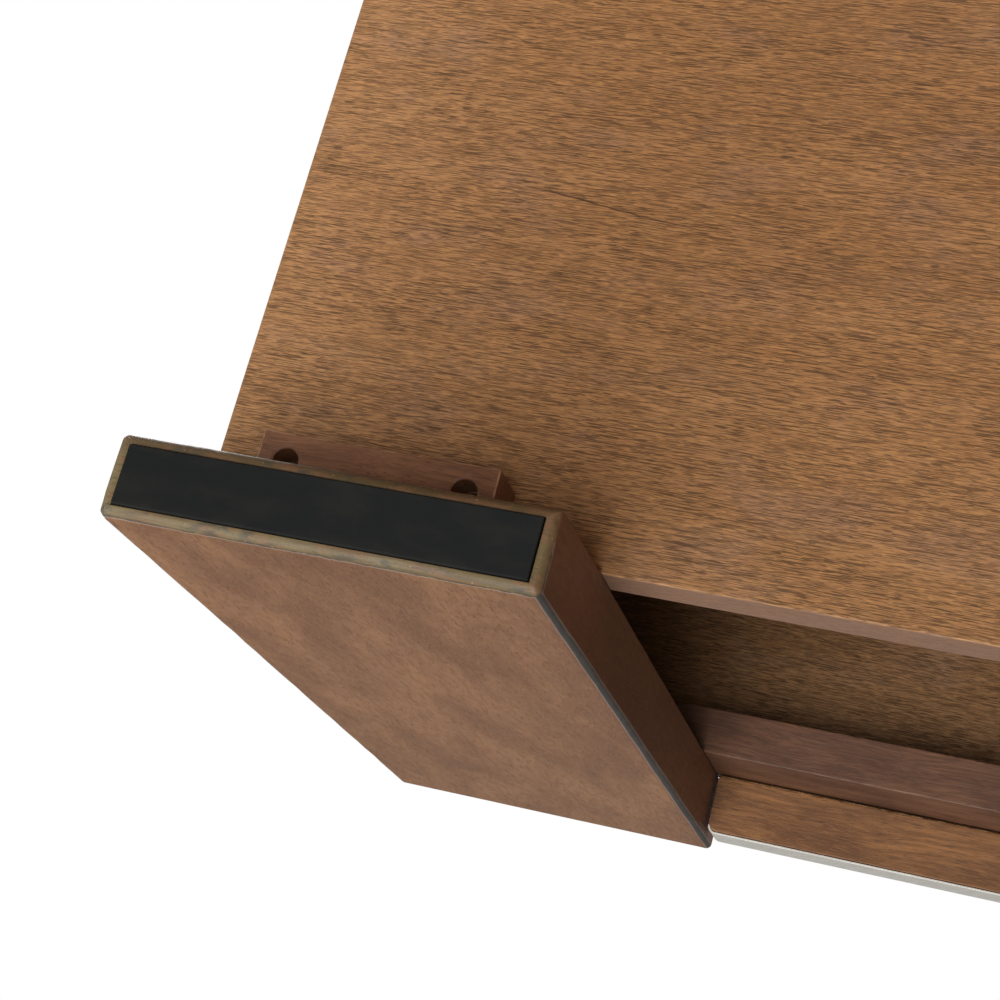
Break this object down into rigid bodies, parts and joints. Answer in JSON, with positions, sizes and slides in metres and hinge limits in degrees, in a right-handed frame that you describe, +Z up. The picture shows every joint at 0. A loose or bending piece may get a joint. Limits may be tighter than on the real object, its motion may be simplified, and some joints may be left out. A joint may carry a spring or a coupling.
{
  "type": "album stand",
  "caption": "Low wooden album stand: slab legs with black non-slip pads carry an open-fronted box with a shelf and a lift-up lid on butt hinges.",
  "frame": {"origin": "on the floor, under the middle of the stand", "axes": "+Z up, -Y towards the open front, +X to the right as seen from the front"},
  "size_m": [0.642, 0.38, 0.358],
  "materials": {
    "leg_wood": "brown-stained solid hardwood, satin lacquer, rubbed silver-grey on the arrises",
    "rail_wood": "brown-stained solid hardwood, satin lacquer",
    "block_wood": "brown-stained solid hardwood, matt",
    "veneer": "open-pored brown-stained veneer, matt lacquer",
    "foot_rubber": "matt black non-slip sheet",
    "edge_metal": "light grey, finely brushed",
    "screw_steel": "zinc-plated steel, slightly dulled",
    "hinge_brass": "aged satin brass"
  },
  "bodies": {
    "stand": {"back_nosing": "rail_wood", "back_nosing_trim": "edge_metal", "back_panel": "veneer", "block_screw_back_left_inner": "screw_steel", "block_screw_back_left_outer": "screw_steel", "block_screw_back_right_inner": "screw_steel", "block_screw_back_right_outer": "screw_steel", "block_screw_front_left_inner": "screw_steel", "block_screw_front_left_outer": "screw_steel", "block_screw_front_right_inner": "screw_steel", "block_screw_front_right_outer": "screw_steel", "corner_block_back_left": "block_wood", "corner_block_back_right": "block_wood", "corner_block_front_left": "block_wood", "corner_block_front_right": "block_wood", "foot_pad_back_left": "foot_rubber", "foot_pad_back_right": "foot_rubber", "foot_pad_front_left": "foot_rubber", "foot_pad_front_right": "foot_rubber", "front_rail": "rail_wood", "hinge_board": "veneer", "hinge_board_leaf_left": "hinge_brass", "hinge_board_leaf_right": "hinge_brass", "hinge_pin_left": "hinge_brass", "hinge_pin_right": "hinge_brass", "hinge_screw_board_left_left": "hinge_brass", "hinge_screw_board_left_right": "hinge_brass", "hinge_screw_board_right_left": "hinge_brass", "hinge_screw_board_right_right": "hinge_brass", "leg_back_left": "leg_wood", "leg_back_right": "leg_wood", "leg_bolt_back_left": "screw_steel", "leg_bolt_back_right": "screw_steel", "leg_bolt_front_left": "screw_steel", "leg_bolt_front_right": "screw_steel", "leg_front_left": "leg_wood", "leg_front_right": "leg_wood", "leg_screw_back_left_inner": "screw_steel", "leg_screw_back_left_outer": "screw_steel", "leg_screw_back_right_inner": "screw_steel", "leg_screw_back_right_outer": "screw_steel", "leg_screw_front_left_inner": "screw_steel", "leg_screw_front_left_outer": "screw_steel", "leg_screw_front_right_inner": "screw_steel", "leg_screw_front_right_outer": "screw_steel", "shelf": "veneer", "side_panel_left": "veneer", "side_panel_right": "veneer"},
    "lid": {"hinge_lid_leaf_left": "hinge_brass", "hinge_lid_leaf_right": "hinge_brass", "hinge_screw_lid_left_left": "hinge_brass", "hinge_screw_lid_left_right": "hinge_brass", "hinge_screw_lid_right_left": "hinge_brass", "hinge_screw_lid_right_right": "hinge_brass", "lid_nosing": "rail_wood", "lid_nosing_trim": "edge_metal", "lid_panel": "veneer"}
  },
  "joints": [
    {"name": "lid_hinge", "type": "hinge", "parent": "stand", "child": "lid", "pos_m": [0, 0.1019, 0.3473], "axis": [-1, 0, 0], "range_deg": [0, 95]}
  ]
}
